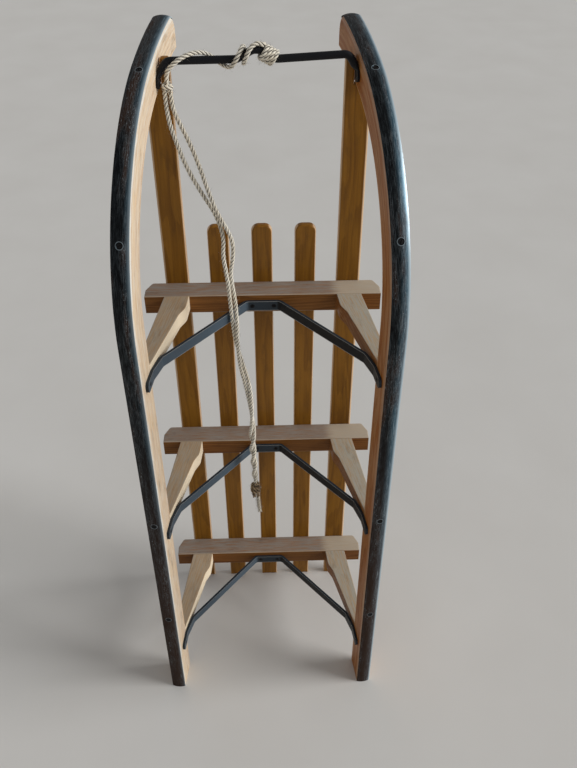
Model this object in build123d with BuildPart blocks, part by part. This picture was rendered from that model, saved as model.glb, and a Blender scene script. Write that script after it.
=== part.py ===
from build123d import *
import math
import os

os.makedirs("parts", exist_ok=True)

# A davos sled of wood and iron, stood upright on its tail as it parks.
# The tail is on the floor and the horns point up, along +Z. The underside faces -Y
# and the seat faces +Y. X runs across the sled. A height is measured from the soles
# towards the seat, along Y, and a station from the tail, along Z. Millimetres.

# The whole sled
overall_width = 360.0     # over the outer edges of the two runners, at the soles
overall_height = 366.0    # from the soles to the tips of the horns
seat_height = 250.0       # from the soles to the underside of the slats
lean = math.radians(7.0)  # the runners lean in towards the seat
seat_gap = 0.2            # clearance where one piece seats on another

# Runners: a long straight sole, a round bend and a nearly straight horn
runner_width = 23.0
runner_depth = 48.0       # with the shoe
straight_sole = 763.0
bend_radius = 291.0
bend_angle = 74.4
horn_radius = 629.0
horn_front_round = 26.0
horn_back_round = 14.0
tail_round = 18.0
wood_edge_round = 2.0

# Shoes: half-round steel along the soles and up over the front of the horns
shoe_thickness = 3.4
shoe_edge = 1.0
shoe_wrap = 40.0          # degrees of the horn's front round that the shoe covers
shoe_hole_radius = 2.2
shoe_sink_radius = 4.4
shoe_hole_table = [       # station where the turn starts, degrees round the bend
    (205.0, 0),
    (438.0, 0),
    (straight_sole, 26.7),
    (straight_sole, 72.1),
]

# Crossbars, one for each trestle
trestle_stations = [114.0, 412.0, 706.0]  # front face of each bar
bar_end_inset = 4.0       # from the sled's side to the bar's end
bar_thickness = 30.0
bar_depth = 37.6
bar_end_drop = 19.0       # the bar's ends are cut back beside the slats
bar_end_cut = 9.0
bar_end_round = 6.0
bar_edge_round = 1.5

# Legs, sawn from board, with a wide head under the crossbar
leg_thickness = 24.0
leg_head_inset = 52.0     # from the sled's side to the middle of the head
leg_head_width = 37.0
leg_head_depth = 31.0
leg_head_taper = 3.0
leg_shoulder_drop = 17.0
leg_shoulder_step = 8.5
leg_shoulder_round = 24.0
leg_foot_width = 18.0
leg_edge_round = 1.2

# Braces of flat iron, from runner to runner under the middle of each crossbar
brace_width = 16.0
brace_thickness = 4.0
brace_flat = 50.0
brace_below_middle = 2.0  # of the bar's thickness
brace_kink_height = 76.0
brace_kink_clear = 2.4    # the kink stands this far off the leg
brace_tab_height = 16.0
brace_bend = 9.0
brace_end_round = 6.0

# Slats
slat_thickness = 11.0
slat_round = 3.0
slat_nose_round = 11.0
inner_slat_length = 800.0
outer_slat_inset = 50.5   # from the sled's side to the slat's middle
outer_slat_middle = overall_width / 2 - outer_slat_inset
outer_slat_width = 35.6
inner_slat_middle = 64.0
inner_slat_width = 31.4
middle_slat_width = 30.6
slat_table = [            # name, middle in X, width, runs up beside the horn
    ("slat_left_outer", -outer_slat_middle, outer_slat_width, True),
    ("slat_left_inner", -inner_slat_middle, inner_slat_width, False),
    ("slat_middle", 0, middle_slat_width, False),
    ("slat_right_inner", inner_slat_middle, inner_slat_width, False),
    ("slat_right_outer", outer_slat_middle, outer_slat_width, True),
]
tongue_below_bar = 1.0    # the outer slats' tongues end this far below the tow bar's line
tongue_nose_round = 4.0

# Tow bar of round iron between the horns. It arches in the middle, where a rope is tied,
# and each end is bent down and forged flat into an ear on the horn's inner face
tow_bar_diameter = 10.0
tow_bar_station = 1039.0
tow_bar_tilt = 3.2        # the right end is this much higher, and the left end lower
tow_bar_sag = 2.0
tow_bar_shoulder = 12.0   # from the horn's face to the corner of the bar's bend
tow_bar_bend = 10.0
tow_bar_drop = 12.0       # from the bar's line to the end of its round part
arch_middle = -2.0        # X
arch_rise = 11.5
arch_top = 4.0            # half of the arch's width, at its top and at its foot
arch_foot = 25.0
arch_bend = 12.0
ear_slope = 24.0          # degrees that the ears lean towards the soles from straight down
ear_start = 21.0          # from the bar's line to the flat part, and to its end
ear_end = 34.0
ear_width = 14.0
ear_end_round = 6.5
ear_thickness = 3.0

# Rope
rope_diameter = 6.0
turns_width = 21.0        # of the turns on the right slope of the tow bar's arch
turns_clear = 0.5         # the tow bar's bends need this much round it
leaves_across = -2.9      # where the rope leaves the turns, from the bar's middle
leaves_up = 8.0
leaves_run = 5.5
knot_edge = 0.6
knot_table = [            # name, middle, radius, height
    ("rope_hitch", (-115.5, 50.5, 1006.5), 7.4, 13.0),
    ("rope_end_knot", (-20.0, -7.5, 331.0), 9.0, 38.0),
]

# Places that follow from the sizes above
crown_rise = shoe_thickness - shoe_edge
crown_radius = (runner_width**2 / 4 + crown_rise**2) / (2 * crown_rise)
lowest = crown_radius * (math.cos(lean) - 1) + runner_width / 2 * math.sin(lean)
ground = -overall_height / 2
seat_y = ground + seat_height
bar_front_y = seat_y - bar_depth
wood_inset = shoe_thickness + seat_gap
horn_top = overall_height + lowest - (runner_width - wood_edge_round) * math.sin(lean)
horn_reach = wood_edge_round + (horn_top - wood_edge_round) / math.cos(lean)
leg_head_y = bar_front_y - seat_gap
leg_head_middle = overall_width / 2 - leg_head_inset
leg_head_inner = leg_head_middle - leg_head_width / 2
leg_head_outer = leg_head_middle + leg_head_width / 2
leg_neck_x = leg_head_inner + leg_head_taper
leg_neck_y = leg_head_y - leg_head_depth
leg_shoulder_x = leg_neck_x + leg_shoulder_step
leg_shoulder_y = leg_neck_y - leg_shoulder_drop


def horn_turn(depth, reach):
    """Angle of the horn's curve, in degrees from the straight sole, at a height above the sole.

    The curve lies at a depth in the runner."""
    start = math.radians(bend_angle)
    bend_reach = depth + (bend_radius - depth) * (1 - math.cos(start))
    cosine = math.cos(start) - (reach - bend_reach) / (horn_radius - depth)
    return math.degrees(math.acos(cosine))


def horn_station(depth, reach):
    """Station of the horn's curve, at a depth in the runner and a height above the sole."""
    start = math.radians(bend_angle)
    end = math.radians(horn_turn(depth, reach))
    bend_station = straight_sole + (bend_radius - depth) * math.sin(start)
    return bend_station + (horn_radius - depth) * (math.sin(end) - math.sin(start))


def rise_at(height, across):
    """Height above the sole, along the lean, of a point at a height above the ground.

    The point lies at a distance inwards from the runner's outer face."""
    return (height + lowest - (runner_width - across) * math.sin(lean)) / math.cos(lean)


def runner_plane(side, across):
    """Plane parallel to a runner's faces, at a distance inwards from the outer one.

    Its x is the height above the sole along the lean, and its y is the station."""
    out = Vector(side * math.cos(lean), math.sin(lean), 0)
    up = Vector(-side * math.sin(lean), math.cos(lean), 0)
    corner = Vector(side * overall_width / 2, ground - lowest + runner_width * math.sin(lean), 0)
    return Plane(origin=corner - out * across, x_dir=up, z_dir=up.cross(Vector(0, 0, 1)))


def runner_point(side, across, reach, station):
    """Point of the sled at a distance inwards, a height above the sole and a station."""
    return runner_plane(side, across).from_local_coords(Vector(reach, station, 0))


def face_x(height, clear):
    """X of the right runner's inner face at a height above the ground, less a clearance."""
    across = runner_width + clear
    return runner_point(1, across, rise_at(height, across), 0).X


# The turn from the straight sole at which the horn's front round begins
start_cosine = math.cos(math.radians(bend_angle))
horn_centre = bend_radius * (1 - start_cosine) + horn_radius * start_cosine
round_cosine = (horn_centre - horn_reach + horn_front_round) / (
    horn_radius - wood_inset - horn_front_round
)
front_round_turn = math.degrees(math.acos(round_cosine))

for side, name in [(-1, "left"), (1, "right")]:
    # Wooden runner, from its side outline
    with BuildPart() as runner:
        with BuildSketch(runner_plane(side, 0)):
            with BuildLine():
                sole = Line((wood_inset, 0), (wood_inset, straight_sole))
                bend = JernArc(sole @ 1, (0, 1), bend_radius - wood_inset, -bend_angle)
                horn_sweep = bend_angle - horn_turn(wood_inset, horn_reach)
                horn = JernArc(bend @ 1, bend % 1, horn_radius - wood_inset, horn_sweep)
                back = Line((runner_depth, 0), (runner_depth, straight_sole))
                back_bend = JernArc(back @ 1, (0, 1), bend_radius - runner_depth, -bend_angle)
                back_sweep = bend_angle - horn_turn(runner_depth, horn_reach)
                back_horn = JernArc(
                    back_bend @ 1, back_bend % 1, horn_radius - runner_depth, back_sweep
                )
                Line(horn @ 1, back_horn @ 1)
                Line(back @ 0, sole @ 0)
            outline = make_face()
            tips = outline.vertices().sort_by(Axis.X)[-2:].sort_by(Axis.Y)
            heel = outline.vertices().filter_by_position(Axis.Y, -1, 1).sort_by(Axis.X)[-1]
            fillet(tips[1], radius=horn_front_round)
            fillet(tips[0], radius=horn_back_round)
            fillet(heel, radius=tail_round)
        extrude(amount=-side * runner_width)
        faces = runner.faces().sort_by(Axis.X)
        fillet([*faces[0].edges(), *faces[-1].edges()], radius=wood_edge_round)
    runner.part.label = f"runner_{name}"
    export_step(runner.part, f"parts/runner_{name}.step")

    # Half-round steel shoe, swept along the sole and over the front of the horn
    with BuildPart() as shoe:
        with BuildLine(runner_plane(side, runner_width / 2)) as track:
            flat = Line((0, 0), (0, straight_sole))
            curve = JernArc(flat @ 1, (0, 1), bend_radius, -bend_angle)
            climb = JernArc(curve @ 1, curve % 1, horn_radius, bend_angle - front_round_turn)
            JernArc(climb @ 1, climb % 1, horn_front_round + wood_inset, -shoe_wrap)
        start = runner_point(side, runner_width / 2, 0, 0)
        across_dir = (math.cos(lean), side * math.sin(lean), 0)
        with BuildSketch(Plane(origin=start, x_dir=across_dir, z_dir=(0, 0, 1))):
            with BuildLine():
                half = runner_width / 2
                ThreePointArc((-half, crown_rise), (0, 0), (half, crown_rise))
                Polyline(
                    (half, crown_rise), (half, shoe_thickness), (-half, shoe_thickness), (-half, crown_rise)
                )
            make_face()
        sweep(path=track.wires()[0])
        for hole_station, turn in shoe_hole_table:
            cosine = math.cos(math.radians(turn))
            sine = math.sin(math.radians(turn))
            reach = bend_radius * (1 - cosine)
            station = hole_station + bend_radius * sine
            crown = runner_point(side, runner_width / 2, reach, station)
            above = runner_point(side, runner_width / 2, reach - cosine, station + sine)
            with Locations(Plane(origin=crown, z_dir=above - crown)):
                CounterSinkHole(
                    radius=shoe_hole_radius,
                    counter_sink_radius=shoe_sink_radius,
                    depth=runner_width / 2,
                    counter_sink_angle=90,
                )
    shoe.part.label = f"shoe_{name}"
    export_step(shoe.part, f"parts/shoe_{name}.step")

# Crossbars, their ends cut back and rounded beside the outer slats
for number, station in enumerate(trestle_stations, 1):
    with BuildPart() as crossbar:
        with BuildSketch(Plane.XY.offset(station)):
            with BuildLine():
                end = overall_width / 2 - bar_end_inset
                Polyline(
                    (-end, bar_front_y),
                    (end, bar_front_y),
                    (end, seat_y - bar_end_drop),
                    (end - bar_end_cut, seat_y),
                    (bar_end_cut - end, seat_y),
                    (-end, seat_y - bar_end_drop),
                    close=True,
                )
            bar_outline = make_face()
            fillet(bar_outline.vertices().group_by(Axis.Y)[1:], radius=bar_end_round)
        extrude(amount=-bar_thickness)
        top = crossbar.faces().sort_by(Axis.Z)[-1]
        under = crossbar.faces().sort_by(Axis.Z)[0]
        fillet([*top.edges(), *under.edges()], radius=bar_edge_round)
    crossbar.part.label = f"crossbar_{number}"
    export_step(crossbar.part, f"parts/crossbar_{number}.step")

# Legs, sawn to their outline and cut at the foot to the runner's lean
for number, station in enumerate(trestle_stations, 1):
    for side, name in [(-1, "left"), (1, "right")]:
        foot_reach = runner_depth + seat_gap
        foot_inner = runner_point(side, runner_width, foot_reach, 0)
        foot_outer = runner_point(side, runner_width - leg_foot_width, foot_reach, 0)
        neck = (side * leg_neck_x, leg_neck_y)
        shoulder = (side * leg_shoulder_x, leg_shoulder_y)
        with BuildPart() as leg:
            with BuildSketch(Plane.XY.offset(station)):
                with BuildLine():
                    Polyline(
                        (foot_inner.X, foot_inner.Y),
                        (foot_outer.X, foot_outer.Y),
                        (side * leg_head_outer, leg_head_y),
                        (side * leg_head_inner, leg_head_y),
                        neck,
                        shoulder,
                        close=True,
                    )
                leg_outline = make_face()
                bends = leg_outline.vertices().sort_by_distance(neck)[0:1]
                bends += leg_outline.vertices().sort_by_distance(shoulder)[0:1]
                fillet(bends, radius=leg_shoulder_round)
            extrude(amount=-leg_thickness)
            sides = leg.faces().sort_by(Axis.Z)
            fillet([*sides[0].edges(), *sides[-1].edges()], radius=leg_edge_round)
        leg.part.label = f"leg_{number}_{name}"
        export_step(leg.part, f"parts/leg_{number}_{name}.step")

# Braces, bent to lie under the crossbar and then down the leg and the runner
brace_offset = seat_gap + brace_thickness / 2
foot = runner_point(1, runner_width, runner_depth + seat_gap, 0)
kink_y = ground + brace_kink_height
kink_share = (leg_shoulder_y - kink_y) / (leg_shoulder_y - foot.Y)
kink_x = leg_shoulder_x + (foot.X - leg_shoulder_x) * kink_share
leg_slope = math.atan2(foot.X - leg_shoulder_x, leg_shoulder_y - foot.Y)
brace_clear = brace_offset / math.cos(leg_slope)
half_path = [
    (brace_flat / 2, bar_front_y - brace_offset),
    (kink_x - brace_clear - brace_kink_clear, kink_y),
    (foot.X - brace_clear, foot.Y),
    (face_x(brace_tab_height, brace_offset), ground + brace_tab_height),
]
brace_front = (bar_thickness - brace_width) / 2 + brace_below_middle
for number, station in enumerate(trestle_stations, 1):
    with BuildPart() as brace:
        with BuildSketch(Plane.XY.offset(station - brace_front)):
            with BuildLine():
                mirrored = [(-x, y) for x, y in reversed(half_path)]
                FilletPolyline(*mirrored, *half_path, radius=brace_bend)
            trace(line_width=brace_thickness)
        extrude(amount=-brace_width)
        tabs = brace.faces().sort_by(Axis.Y)[:2]
        fillet(tabs.edges().filter_by(Axis.Z, reverse=True), radius=brace_end_round)
    brace.part.label = f"brace_{number}"
    export_step(brace.part, f"parts/brace_{number}.step")

# Slats with rounded edges and noses; the outer two run on past the horns
horn_back_station = horn_station(runner_depth, rise_at(seat_height, 0))
tongue_edge = face_x(seat_height + slat_thickness, seat_gap)
tongue_length = tow_bar_station - tongue_below_bar
for name, middle, width, beside_horn in slat_table:
    side = math.copysign(1, middle)
    near = side * (abs(middle) - width / 2)
    far = side * (abs(middle) + width / 2)
    notch = horn_back_station - seat_gap
    with BuildPart() as slat:
        with BuildSketch(Plane.XZ.offset(-seat_y - seat_gap)):
            with BuildLine():
                if beside_horn:
                    Polyline(
                        (near, 0),
                        (far, 0),
                        (far, notch),
                        (side * tongue_edge, notch),
                        (side * tongue_edge, tongue_length),
                        (near, tongue_length),
                        close=True,
                    )
                else:
                    Polyline(
                        (near, 0), (far, 0), (far, inner_slat_length), (near, inner_slat_length), close=True
                    )
            slat_outline = make_face()
            nose = slat_outline.vertices().group_by(Axis.Y)[-1]
            fillet(nose, radius=tongue_nose_round if beside_horn else slat_nose_round)
        extrude(amount=-slat_thickness)
        faces = slat.faces().sort_by(Axis.Y)
        fillet([*faces[0].edges(), *faces[-1].edges()], radius=slat_round)
    slat.part.label = name
    export_step(slat.part, f"parts/{name}.step")

# Tow bar: round iron that sags a little and arches in the middle, its ends forged flat
tow_height = seat_height - seat_gap - tow_bar_diameter / 2
tow_y = ground + tow_height
tow_across = runner_width + seat_gap + tow_bar_diameter / 2
tow_reach = rise_at(tow_height, tow_across)
ear_across = runner_width + seat_gap
ear_back = math.sin(math.radians(ear_slope))
ear_down = math.cos(math.radians(ear_slope))
arch_low = tow_bar_station - tow_bar_sag
arch_high = arch_low + arch_rise
arch_path = [
    (arch_middle - arch_foot, tow_y, arch_low),
    (arch_middle - arch_top, tow_y, arch_high),
    (arch_middle + arch_top, tow_y, arch_high),
    (arch_middle + arch_foot, tow_y, arch_low),
]


def ear_point(side, across, drop):
    """Point at a distance inwards in the horn and at a drop from the bar's line, down the ear's slope."""
    station = tow_bar_station + side * tow_bar_tilt
    return runner_point(side, across, tow_reach - drop * ear_back, station - drop * ear_down)


with BuildPart() as tow_bar:
    corners = []
    tips = []
    for side in (-1, 1):
        corner_x = side * face_x(tow_height, tow_bar_shoulder)
        corners.append(Vector(corner_x, tow_y, tow_bar_station + side * tow_bar_tilt))
        tips.append(ear_point(side, tow_across, tow_bar_drop))
    with BuildLine() as bar_path:
        FilletPolyline(
            tips[0],
            corners[0],
            *arch_path,
            corners[1],
            tips[1],
            radius=[tow_bar_bend, arch_bend, arch_bend, arch_bend, arch_bend, tow_bar_bend],
        )
    with BuildSketch(Plane(origin=tips[0], z_dir=corners[0] - tips[0])):
        Circle(tow_bar_diameter / 2)
    sweep(path=bar_path.wires()[0])
    for side, corner, tip in zip((-1, 1), corners, tips):
        ear_plane = runner_plane(side, ear_across)
        flat_start = ear_point(side, ear_across + ear_thickness / 2, ear_start)
        flat_end = ear_point(side, ear_across + ear_thickness / 2, ear_end)
        with BuildSketch(Plane(origin=tip, x_dir=ear_plane.z_dir, z_dir=corner - tip)):
            Circle(tow_bar_diameter / 2)
        with BuildSketch(Plane(origin=flat_start, x_dir=ear_plane.z_dir, z_dir=flat_start - flat_end)):
            Ellipse(ear_thickness / 2, ear_width / 2)
        loft()
        with BuildSketch(ear_plane):
            ear_middle = (ear_start + ear_end) / 2
            ear_reach = tow_reach - ear_middle * ear_back
            ear_station = tow_bar_station + side * tow_bar_tilt - ear_middle * ear_down
            with Locations((ear_reach, ear_station)):
                ear = Rectangle(ear_end - ear_start, ear_width, rotation=90 - ear_slope)
            fillet(ear.vertices().sort_by(Axis.Y)[:2], radius=ear_end_round)
        extrude(amount=-side * ear_thickness)
tow_bar.part.label = "tow_bar"
export_step(tow_bar.part, "parts/tow_bar.step")

# Turns of the rope round the right slope of the arch, as one closed solid
slope_top = Vector(*arch_path[2])
slope_foot = Vector(*arch_path[3])
slope = (slope_foot - slope_top).normalized()
turns_plane = Plane(
    origin=(slope_top + slope_foot) / 2 - slope * turns_width / 2, x_dir=(0, 1, 0), z_dir=slope
)
with BuildPart() as rope_turns:
    with BuildSketch(turns_plane):
        Circle(tow_bar_diameter / 2 + turns_clear + rope_diameter)
        Circle(tow_bar_diameter / 2 + turns_clear, mode=Mode.SUBTRACT)
    extrude(amount=turns_width)
rope_turns.part.label = "rope_turns"
export_step(rope_turns.part, "parts/rope_turns.step")


def cord_radii(points):
    """Radius of the arc at each inner point: 0.45 of the shorter run over the tangent of half the turn."""
    radii = []
    for before, here, after in zip(points, points[1:], points[2:]):
        arriving = Vector(*here) - Vector(*before)
        leaving = Vector(*after) - Vector(*here)
        half_turn = math.radians(arriving.get_angle(leaving) / 2)
        radii.append(0.45 * min(arriving.length, leaving.length) / math.tan(half_turn))
    return radii


# Rope: along the tow bar, down to a hitch, and in two strands to the end knot and its tail
rope_routes = {
    "rope_bar_run": [
        tuple(turns_plane.from_local_coords(Vector(leaves_across, leaves_up, 0))),
        tuple(turns_plane.from_local_coords(Vector(leaves_across, leaves_up, -leaves_run))),
        (-4.3, 56.6, 1056.3),
        (-9.8, 53.2, 1051.6),
        (-13.2, 52.3, 1044.5),
        (-16.4, 54.0, 1036.6),
        (-17.6, 61.5, 1031.0),
        (-17.0, 69.2, 1034.8),
        (-16.2, 71.4, 1042.8),
        (-16.6, 68.2, 1050.8),
        (-19.0, 60.8, 1052.6),
        (-22.6, 54.4, 1046.6),
        (-27.0, 52.4, 1038.6),
        (-32.0, 54.8, 1030.2),
        (-38.5, 61.8, 1027.2),
        (-47.5, 68.8, 1030.0),
        (-57.0, 71.0, 1037.6),
        (-67.5, 68.2, 1043.6),
        (-78.5, 62.3, 1045.6),
        (-89.2, 56.4, 1044.2),
        (-98.5, 52.3, 1040.2),
        (-106.3, 50.5, 1034.5),
        (-112.3, 50.3, 1028.5),
        (-115.5, 50.5, 1021.0),
        (-115.5, 50.5, 1013.0),
    ],
    "rope_strand_left": [
        (-119.0, 50.5, 1000.0),
        (-119.0, 50.5, 982.0),
        (-116.0, 43.5, 962.0),
        (-108.5, 38.0, 938.0),
        (-97.0, 32.0, 905.0),
        (-79.5, 26.0, 872.0),
        (-62.0, 23.5, 842.0),
        (-52.0, 14.0, 812.0),
        (-55.0, 7.5, 786.0),
        (-50.0, 0.5, 757.0),
        (-47.5, -4.5, 722.0),
        (-45.5, -7.9, 690.0),
        (-43.2, -4.5, 650.0),
        (-34.0, -5.0, 608.0),
        (-23.5, -7.5, 565.0),
        (-21.0, -10.5, 522.0),
        (-23.0, -11.0, 478.0),
        (-26.5, -8.5, 434.0),
        (-26.0, -6.0, 400.0),
        (-23.5, -7.5, 374.0),
        (-23.5, -7.5, 350.0),
    ],
    "rope_strand_right": [
        (-112.0, 50.5, 1000.0),
        (-112.0, 50.5, 984.0),
        (-105.0, 45.0, 966.0),
        (-92.0, 38.0, 940.0),
        (-80.5, 32.5, 908.0),
        (-70.5, 24.5, 876.0),
        (-59.5, 16.0, 846.0),
        (-42.0, 13.0, 814.0),
        (-39.0, 9.5, 790.0),
        (-46.0, 6.5, 757.0),
        (-40.5, -1.5, 722.0),
        (-38.5, -7.5, 690.0),
        (-39.0, -11.5, 650.0),
        (-38.0, -11.0, 608.0),
        (-30.5, -7.5, 565.0),
        (-25.0, -4.5, 522.0),
        (-20.0, -4.0, 478.0),
        (-19.5, -6.5, 434.0),
        (-19.0, -9.0, 400.0),
        (-16.5, -7.5, 374.0),
        (-16.5, -7.5, 350.0),
    ],
    "rope_tail": [
        (-16.4, -7.5, 312.0),
        (-16.4, -7.5, 299.5),
        (-15.0, -8.3, 286.0),
        (-14.0, -8.0, 273.5),
    ],
}
for name, points in rope_routes.items():
    radii = cord_radii(points)
    print(name, "radii", [round(radius) for radius in radii])
    with BuildPart() as rope:
        with BuildLine() as route:
            FilletPolyline(*points, radius=radii)
        first = Vector(*points[0])
        with BuildSketch(Plane(origin=first, z_dir=Vector(*points[1]) - first)):
            Circle(rope_diameter / 2)
        sweep(path=route.wires()[0])
    section = math.pi * rope_diameter**2 / 4
    print(name, "length", round(route.wires()[0].length), "volume", round(rope.part.volume),
          "section times length", round(section * route.wires()[0].length))
    rope.part.label = name
    export_step(rope.part, f"parts/{name}.step")

# The two knots, as closed solids
for name, middle, radius, height in knot_table:
    with BuildPart() as knot:
        with BuildSketch(Plane(origin=middle, z_dir=(0, 0, 1))):
            Circle(radius)
        extrude(amount=height / 2, both=True)
        chamfer(knot.edges().filter_by(GeomType.CIRCLE), length=knot_edge)
    knot.part.label = name
    export_step(knot.part, f"parts/{name}.step")
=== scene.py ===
# %% [markdown]
# # A davos sled, stood upright on its tail
#
# The CAD model holds every wooden and iron piece at its real size, in metres, with +Z
# up: the tail is on the floor and the horns point up. This script gives those pieces
# their look, and makes what is too fine or too soft for CAD: the laid rope with its
# knots, and the screws. Everything is placed by the frame's own coordinates, so
# nothing has to be fitted by eye.

# %% Load the frame
import bmesh
import bpy
import math
import numpy as np
from collections import namedtuple
from mathutils import Matrix, Vector


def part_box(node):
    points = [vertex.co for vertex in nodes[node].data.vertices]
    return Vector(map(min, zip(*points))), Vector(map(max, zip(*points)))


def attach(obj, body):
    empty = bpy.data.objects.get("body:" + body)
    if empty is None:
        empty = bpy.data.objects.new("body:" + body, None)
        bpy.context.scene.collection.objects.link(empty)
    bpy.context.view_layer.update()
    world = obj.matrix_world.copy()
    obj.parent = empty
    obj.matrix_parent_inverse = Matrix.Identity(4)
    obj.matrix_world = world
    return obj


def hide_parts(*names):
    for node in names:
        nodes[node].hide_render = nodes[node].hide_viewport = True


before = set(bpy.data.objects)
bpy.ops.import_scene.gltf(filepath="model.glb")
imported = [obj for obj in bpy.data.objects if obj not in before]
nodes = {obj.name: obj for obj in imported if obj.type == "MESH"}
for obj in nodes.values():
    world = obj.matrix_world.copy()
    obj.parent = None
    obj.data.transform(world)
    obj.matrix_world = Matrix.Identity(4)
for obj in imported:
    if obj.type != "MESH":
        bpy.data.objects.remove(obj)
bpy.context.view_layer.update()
scene = bpy.context.scene
mm = 0.001


def corners(name):
    """Lowest and highest corner of a CAD node, in millimetres."""
    return np.array(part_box(name)) / mm


# %% [markdown]
# ## The camera
#
# The photograph looks down at the sled's underside. A camera can be placed by eye, but
# it is better solved from the picture: the edges that run parallel on the sled give its
# slope and its focal length, and the known width of the sled gives its distance. The
# focal length is found in pixels of the picture's long side, which Blender's sensor
# covers, so it turns into millimetres by one proportion.

# %% Camera
photo_long_side = 768
focal_pixels = 815.3
camera_place = Vector((0.0064, -0.9950, 1.3677))
camera_pitch = math.radians(39.12)
camera_yaw = math.radians(1.77)

forward = Vector((
    math.sin(camera_yaw) * math.cos(camera_pitch),
    math.cos(camera_yaw) * math.cos(camera_pitch),
    -math.sin(camera_pitch),
))
rightward = Vector((math.cos(camera_yaw), -math.sin(camera_yaw), 0.0))
upward = rightward.cross(forward)
camera_axes = Matrix((rightward, upward, -forward)).transposed()
camera_data = bpy.data.cameras.new("camera")
camera_data.sensor_width = 36.0
camera_data.lens = focal_pixels / photo_long_side * camera_data.sensor_width
camera = bpy.data.objects.new("camera", camera_data)
camera.matrix_world = Matrix.Translation(camera_place) @ camera_axes.to_4x4()
scene.collection.objects.link(camera)
scene.camera = camera
print("lens", round(camera_data.lens, 2), "mm")

# %% [markdown]
# ## Surfaces from arrays
#
# Every new piece below is a grid of points worked out in one go with numpy: one index
# runs along the piece and the other runs round it. One helper turns a mesh into a piece
# that rides on the sled, and another joins such grids into quads. It writes each quad's
# place in the grid to a UV map, taken corner by corner, so a pattern that goes round a
# tube meets itself without a seam.

# %% From a mesh to a piece
merge_distance = 1e-7


def rigid_piece(name, mesh):
    """Merges a mesh's doubles, turns its faces outwards, and adds it as a piece."""
    merged = bmesh.new()
    merged.from_mesh(mesh)
    bmesh.ops.remove_doubles(merged, verts=merged.verts, dist=merge_distance)
    bmesh.ops.recalc_face_normals(merged, faces=merged.faces)
    merged.to_mesh(mesh)
    merged.free()
    piece = bpy.data.objects.new(name, mesh)
    scene.collection.objects.link(piece)
    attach(piece, "root")
    print(name, len(mesh.polygons), "faces")
    return piece


# %% Skin of a grid
def skin(name, points):
    """Joins points, as tubes by rows by columns, into one smooth piece of quads.

    The columns close into a ring, and the middle of the first and the last ring closes
    each tube. The UV is the row, and the column's share of the ring."""
    caps = points[:, [0, -1]].mean(axis=2, keepdims=True).repeat(points.shape[2], axis=2)
    points = np.concatenate([caps[:, :1], points, caps[:, 1:]], axis=1)
    tubes, rows, columns = points.shape[:3]
    tube, row, column = np.meshgrid(
        np.arange(tubes), np.arange(rows - 1), np.arange(columns), indexing="ij"
    )
    quad_rows = np.stack([row, row, row + 1, row + 1], axis=-1)
    quad_columns = np.stack([column, column + 1, column + 1, column], axis=-1)
    quads = (tube[..., None] * rows + quad_rows) * columns + quad_columns % columns
    mesh = bpy.data.meshes.new(name)
    mesh.from_pydata(points.reshape(-1, 3), [], quads.reshape(-1, 4))
    uv = np.stack([quad_rows, quad_columns / columns], axis=-1).astype(np.float32)
    mesh.uv_layers.new(name="lay").data.foreach_set("uv", uv.ravel())
    piece = rigid_piece(name, mesh)
    mesh.polygons.foreach_set("use_smooth", np.ones(len(mesh.polygons), bool))
    return piece


def unit(vectors):
    """Each vector divided by its length."""
    return vectors / np.linalg.norm(vectors, axis=-1, keepdims=True)


# %% [markdown]
# ## The rope's route
#
# The rope is tied round the tow bar, runs along it to the left horn, and hangs from a
# hitch there in two strands that end in a knot. A limp rope takes smooth curves, so each
# route is a NURBS spline whose control points are the corners of the CAD tubes. Blender
# turns the spline into a fine line of points, which the rope's own strands then follow.

# %% Routes, in millimetres
rope_diameter = 6.0
bar_run = [
    (7.1, 58.9, 1054.8),
    (2.3, 58.9, 1057.4),
    (-4.3, 56.6, 1056.3),
    (-9.8, 53.2, 1051.6),
    (-13.2, 52.3, 1044.5),
    (-16.4, 54.0, 1036.6),
    (-17.6, 61.5, 1031.0),
    (-17.0, 69.2, 1034.8),
    (-16.2, 71.4, 1042.8),
    (-16.6, 68.2, 1050.8),
    (-19.0, 60.8, 1052.6),
    (-22.6, 54.4, 1046.6),
    (-27.0, 52.4, 1038.6),
    (-32.0, 54.8, 1030.2),
    (-38.5, 61.8, 1027.2),
    (-47.5, 68.8, 1030.0),
    (-57.0, 71.0, 1037.6),
    (-67.5, 68.2, 1043.6),
    (-78.5, 62.3, 1045.6),
    (-89.2, 56.4, 1044.2),
    (-98.5, 52.3, 1040.2),
    (-106.3, 50.5, 1034.5),
    (-112.3, 50.3, 1028.5),
    (-115.5, 50.5, 1021.0),
    (-115.5, 50.5, 1013.0),
]
strand_left = [
    (-119.0, 50.5, 1000.0),
    (-119.0, 50.5, 982.0),
    (-116.0, 43.5, 962.0),
    (-108.5, 38.0, 938.0),
    (-97.0, 32.0, 905.0),
    (-79.5, 26.0, 872.0),
    (-62.0, 23.5, 842.0),
    (-52.0, 14.0, 812.0),
    (-55.0, 7.5, 786.0),
    (-50.0, 0.5, 757.0),
    (-47.5, -4.5, 722.0),
    (-45.5, -7.9, 690.0),
    (-43.2, -4.5, 650.0),
    (-34.0, -5.0, 608.0),
    (-23.5, -7.5, 565.0),
    (-21.0, -10.5, 522.0),
    (-23.0, -11.0, 478.0),
    (-26.2, -8.6, 462.0),
    (-24.6, -4.2, 448.0),
    (-20.2, -4.4, 435.0),
    (-19.2, -9.4, 422.0),
    (-22.4, -11.2, 409.0),
    (-25.0, -7.6, 396.0),
    (-22.8, -4.0, 384.0),
    (-18.6, -5.2, 372.0),
    (-18.2, -9.2, 360.0),
    (-20.6, -10.6, 350.0),
]
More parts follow.
